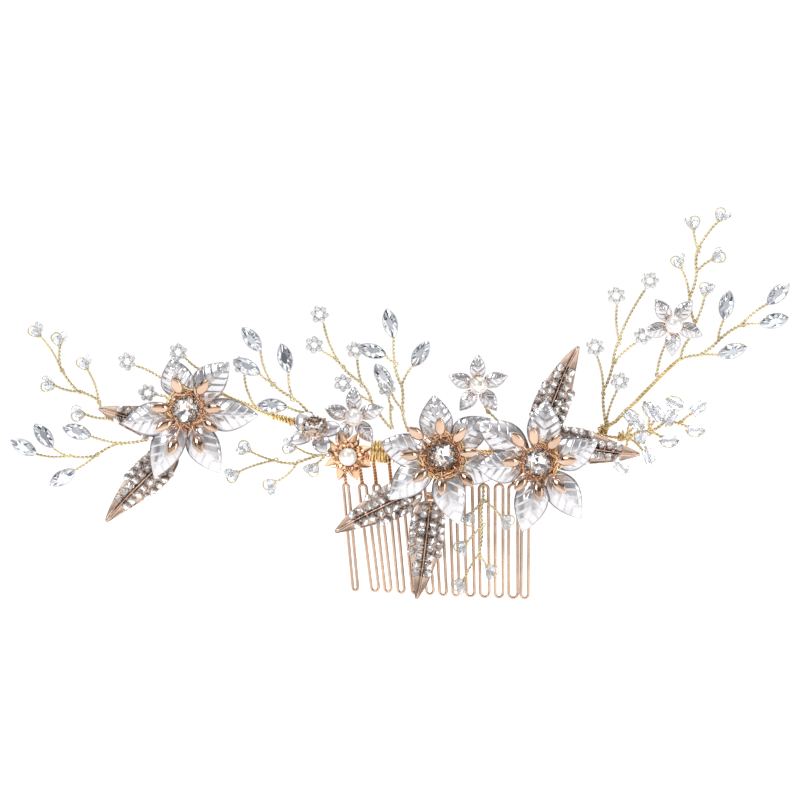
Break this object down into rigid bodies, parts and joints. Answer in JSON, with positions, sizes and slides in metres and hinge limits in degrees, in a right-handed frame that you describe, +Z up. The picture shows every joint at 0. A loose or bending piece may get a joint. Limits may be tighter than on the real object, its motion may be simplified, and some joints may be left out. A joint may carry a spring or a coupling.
{
  "type": "decorative hair comb",
  "caption": "Wire hair comb carrying a long vine of enamelled flowers, pave leaves, pearls, cut stones and beaded wire sprigs, with two side vines that bend.",
  "frame": {"origin": "middle of the comb's top bar, at the root of the teeth (the hair_grip mount)", "axes": "+X along the vine from the left flower to the right sprigs; +Z up, opposite to the teeth; the decorated face looks towards -Y"},
  "size_m": [0.2707, 0.024, 0.1361],
  "materials": {
    "tooth_wire": "satin rose-gold plated wire",
    "copper_wire": "bright copper-coloured twisted wire",
    "gold_wire": "bright yellow-gold wire",
    "sprig_wire": "pale gold twisted wire",
    "rose_gold": "polished rose-gold plated casting",
    "silver_enamel": "pearly silver enamel over stamped metal",
    "pearl_enamel": "pearlescent lilac-white enamel with embossed veins",
    "pearl": "nacre-coated imitation pearl",
    "seed_pearl": "small translucent white pearl",
    "clear_stone": "foil-backed cut rhinestone",
    "marquise_stone": "foil-backed cut boat-shaped stone",
    "crystal": "clear cut crystal bead",
    "clear_bead": "clear glass tube bead"
  },
  "bodies": {
    "comb": {"binding_wire": "gold_wire", "bud_flower_petals": "pearl_enamel", "bud_flower_setting": "rose_gold", "bud_flower_stone": "clear_stone", "centre_crystal_wires": "sprig_wire", "centre_crystals": "crystal", "centre_leaf_stones": "clear_stone", "centre_marquise_wires": "sprig_wire", "centre_marquises": "marquise_stone", "centre_pearl_wires": "sprig_wire", "centre_seed_pearls": "seed_pearl", "centre_stem": "sprig_wire", "comb_neck_twists": "copper_wire", "comb_teeth": "tooth_wire", "comb_top_bar": "tooth_wire", "gold_flower_cup": "rose_gold", "gold_flower_pearl": "pearl", "gold_flower_petals": "rose_gold", "left_pearl_flower_pearl": "pearl", "left_pearl_flower_petals": "silver_enamel", "middle_flower_petals": "pearl_enamel", "middle_flower_setting": "rose_gold", "middle_flower_stamens": "rose_gold", "middle_flower_stone": "clear_stone", "middle_pearl_flower_pearl": "pearl", "middle_pearl_flower_petals": "silver_enamel", "pave_leaf_comb_left": "rose_gold", "pave_leaf_comb_middle": "rose_gold", "pave_leaf_lower_right": "rose_gold", "pave_leaf_upper_right": "rose_gold", "right_flower_petals": "pearl_enamel", "right_flower_setting": "rose_gold", "right_flower_stamens": "rose_gold", "right_flower_stone": "clear_stone"},
    "left_vine": {"left_crystal_wires": "sprig_wire", "left_crystals": "crystal", "left_flower_petals": "pearl_enamel", "left_flower_setting": "rose_gold", "left_flower_stamens": "rose_gold", "left_flower_stone": "clear_stone", "left_leaf_stones": "clear_stone", "left_marquise_wires": "sprig_wire", "left_marquises": "marquise_stone", "left_pearl_wires": "sprig_wire", "left_seed_pearls": "seed_pearl", "left_stem": "sprig_wire", "pave_leaf_far_left": "rose_gold", "pave_leaf_lower_left": "rose_gold"},
    "right_vine": {"right_crystal_wires": "sprig_wire", "right_crystals": "crystal", "right_marquise_wires": "sprig_wire", "right_marquises": "marquise_stone", "right_pearl_flower_pearl": "pearl", "right_pearl_flower_petals": "silver_enamel", "right_pearl_wires": "sprig_wire", "right_seed_pearls": "seed_pearl", "right_stem": "sprig_wire", "tube_beads": "clear_bead", "tube_bead_wires": "sprig_wire"}
  },
  "joints": [
    {"name": "left_vine_bend", "type": "hinge", "parent": "comb", "child": "left_vine", "pos_m": [-0.059, -0.0022, 0.0149], "axis": [0, 0, 1], "range_deg": [-35, 5]},
    {"name": "right_vine_bend", "type": "hinge", "parent": "comb", "child": "right_vine", "pos_m": [0.056, -0.0022, 0.0085], "axis": [0, 0, 1], "range_deg": [-5, 35]}
  ]
}
